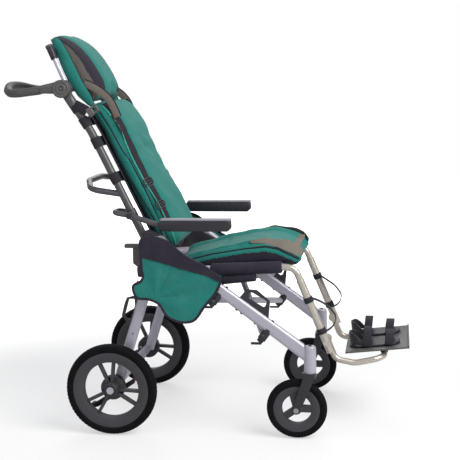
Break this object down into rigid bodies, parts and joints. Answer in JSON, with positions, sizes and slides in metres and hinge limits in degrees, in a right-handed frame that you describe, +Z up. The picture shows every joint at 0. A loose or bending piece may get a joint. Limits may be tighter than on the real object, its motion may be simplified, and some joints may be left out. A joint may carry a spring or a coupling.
{
  "type": "tilt-in-space adaptive stroller",
  "caption": "Adaptive stroller with a tilting seat, reclining padded back, head support, flip-up arms and footrest, on wheels.",
  "frame": {"origin": "on the ground under the middle of the whole object's box", "axes": "+X the way the occupant faces, +Y to the occupant's left, +Z up"},
  "size_m": [1.31, 0.5886, 1.2608],
  "materials": {
    "frame_silver": "satin silver paint on aluminium tube",
    "bright_tube": "polished nickel tube",
    "black_frame": "semi-matt black paint",
    "black_plastic": "moulded black plastic with a fine grain",
    "grey_plastic": "moulded grey plastic",
    "red_plastic": "bright red plastic",
    "steel": "zinc-plated steel",
    "tyre_rubber": "dusty black tread rubber",
    "grip_foam": "dense black foam",
    "green_fabric": "padded teal-green woven cloth with stitched seams",
    "black_fabric": "black woven cloth",
    "black_webbing": "black nylon webbing"
  },
  "bodies": {
    "base": {"front_leg_left": "frame_silver", "front_leg_right": "frame_silver", "caster_housings": "frame_silver", "hinge_bolts": "steel", "brace_bars": "frame_silver", "brace_clamps": "black_plastic", "front_tie_downs": "black_frame"},
    "rear_frame": {"rear_leg_left": "frame_silver", "rear_leg_right": "frame_silver", "rear_axle": "frame_silver", "brake_housings": "black_plastic", "rear_tie_downs": "black_frame"},
    "brake_rocker": {"brake_pedal": "black_plastic"},
    "pin_left": {"lock_pin_left": "steel"},
    "pin_right": {"lock_pin_right": "steel"},
    "wheel_rear_left": {"rear_tyre_left": "tyre_rubber", "rear_rim_left": "black_plastic"},
    "wheel_rear_right": {"rear_tyre_right": "tyre_rubber", "rear_rim_right": "black_plastic"},
    "caster_left": {"caster_fork_left": "black_plastic", "caster_axle_left": "steel"},
    "caster_right": {"caster_fork_right": "black_plastic", "caster_axle_right": "steel"},
    "wheel_front_left": {"front_tyre_left": "tyre_rubber", "front_rim_left": "black_plastic"},
    "wheel_front_right": {"front_tyre_right": "tyre_rubber", "front_rim_right": "black_plastic"},
    "seat": {"seat_side_plates": "black_frame", "seat_rails": "frame_silver", "rail_covers": "black_fabric", "seat_cross_bars": "frame_silver", "seat_pan": "grey_plastic", "seat_cushion": "green_fabric", "centre_strap": "black_webbing", "side_skirt_left": "green_fabric", "side_skirt_right": "green_fabric", "legrest_tubes": "bright_tube"},
    "lever": {"tilt_lever": "grey_plastic"},
    "back": {"back_cane_left": "black_frame", "back_cane_right": "black_frame", "cane_hubs": "black_plastic", "rear_bar": "black_frame", "back_panel": "black_fabric", "back_cushion": "green_fabric", "back_straps": "black_webbing", "head_posts": "bright_tube", "arm_brackets": "black_plastic"},
    "headrest": {"head_frame": "black_plastic", "head_cushion": "green_fabric"},
    "push_handle": {"handle_arms": "black_plastic", "handle_grip": "grip_foam"},
    "armrest_left": {"arm_tube_left": "black_frame", "arm_pad_left": "black_plastic"},
    "armrest_right": {"arm_tube_right": "black_frame", "arm_pad_right": "black_plastic"},
    "legrest": {"legrest_sleeves": "bright_tube", "calf_straps": "black_webbing"},
    "footrest": {"foot_tube": "bright_tube", "foot_plate": "grey_plastic", "foot_holders": "black_plastic"}
  },
  "joints": [
    {"name": "frame_fold", "type": "hinge", "parent": "base", "child": "rear_frame", "pos_m": [-0.113, 0, 0.608], "axis": [0, -1, 0], "range_deg": [0, 38]},
    {"name": "rear_wheel_left_spin", "type": "hinge", "parent": "rear_frame", "child": "wheel_rear_left", "pos_m": [-0.272, 0.271, 0.146], "axis": [0, 1, 0], "continuous": true},
    {"name": "rear_wheel_right_spin", "type": "hinge", "parent": "rear_frame", "child": "wheel_rear_right", "pos_m": [-0.272, -0.271, 0.146], "axis": [0, 1, 0], "continuous": true},
    {"name": "caster_left_swivel", "type": "hinge", "parent": "base", "child": "caster_left", "pos_m": [0.353, 0.253, 0.21], "axis": [0, 0, 1], "continuous": true},
    {"name": "caster_right_swivel", "type": "hinge", "parent": "base", "child": "caster_right", "pos_m": [0.353, -0.253, 0.21], "axis": [0, 0, 1], "continuous": true},
    {"name": "front_wheel_left_spin", "type": "hinge", "parent": "caster_left", "child": "wheel_front_left", "pos_m": [0.311, 0.253, 0.0945], "axis": [0, 1, 0], "continuous": true},
    {"name": "front_wheel_right_spin", "type": "hinge", "parent": "caster_right", "child": "wheel_front_right", "pos_m": [0.311, -0.253, 0.0945], "axis": [0, 1, 0], "continuous": true},
    {"name": "seat_tilt", "type": "hinge", "parent": "base", "child": "seat", "pos_m": [-0.113, 0, 0.608], "axis": [0, -1, 0], "range_deg": [0, 45]},
    {"name": "back_recline", "type": "hinge", "parent": "seat", "child": "back", "pos_m": [-0.136, 0, 0.545], "axis": [0, -1, 0], "range_deg": [-20, 25]},
    {"name": "handle_angle", "type": "hinge", "parent": "back", "child": "push_handle", "pos_m": [-0.41527, 0, 1.0852], "axis": [0, 1, 0], "range_deg": [-40, 50]},
    {"name": "headrest_height", "type": "slide", "parent": "back", "child": "headrest", "axis": [-0.3907, 0, 0.9205], "range_m": [0, 0.04]},
    {"name": "armrest_left_flip", "type": "hinge", "parent": "back", "child": "armrest_left", "pos_m": [-0.20611, 0.225, 0.692], "axis": [0, -1, 0], "range_deg": [0, 90]},
    {"name": "armrest_right_flip", "type": "hinge", "parent": "back", "child": "armrest_right", "pos_m": [-0.20611, -0.225, 0.692], "axis": [0, -1, 0], "range_deg": [0, 90]},
    {"name": "legrest_length", "type": "slide", "parent": "seat", "child": "legrest", "axis": [0.3795, 0, -0.9252], "range_m": [0, 0.08]},
    {"name": "footrest_flip", "type": "hinge", "parent": "legrest", "child": "footrest", "pos_m": [0.39915, 0, 0.291], "axis": [0, -1, 0], "range_deg": [0, 60]},
    {"name": "brake_pedal_press", "type": "hinge", "parent": "rear_frame", "child": "brake_rocker", "pos_m": [-0.274, -0.203, 0.117], "axis": [0, -1, 0], "range_deg": [0, 18]},
    {"name": "lock_pin_left_slide", "type": "slide", "parent": "rear_frame", "child": "pin_left", "axis": [0, 1, 0], "range_m": [0, 0.008]},
    {"name": "lock_pin_right_slide", "type": "slide", "parent": "rear_frame", "child": "pin_right", "axis": [0, -1, 0], "range_m": [0, 0.008]},
    {"name": "tilt_lever_pull", "type": "hinge", "parent": "seat", "child": "lever", "pos_m": [-0.18, -0.161, 0.50735], "axis": [0, -1, 0], "range_deg": [0, 25], "stiffness_Nm_per_rad": 1.5, "springref_deg": -14.32}
  ],
  "couplings": [
    {"joint": "lock_pin_left_slide", "follows": "brake_pedal_press", "m_per_rad": 0.025465},
    {"joint": "lock_pin_right_slide", "follows": "brake_pedal_press", "m_per_rad": 0.025465}
  ]
}
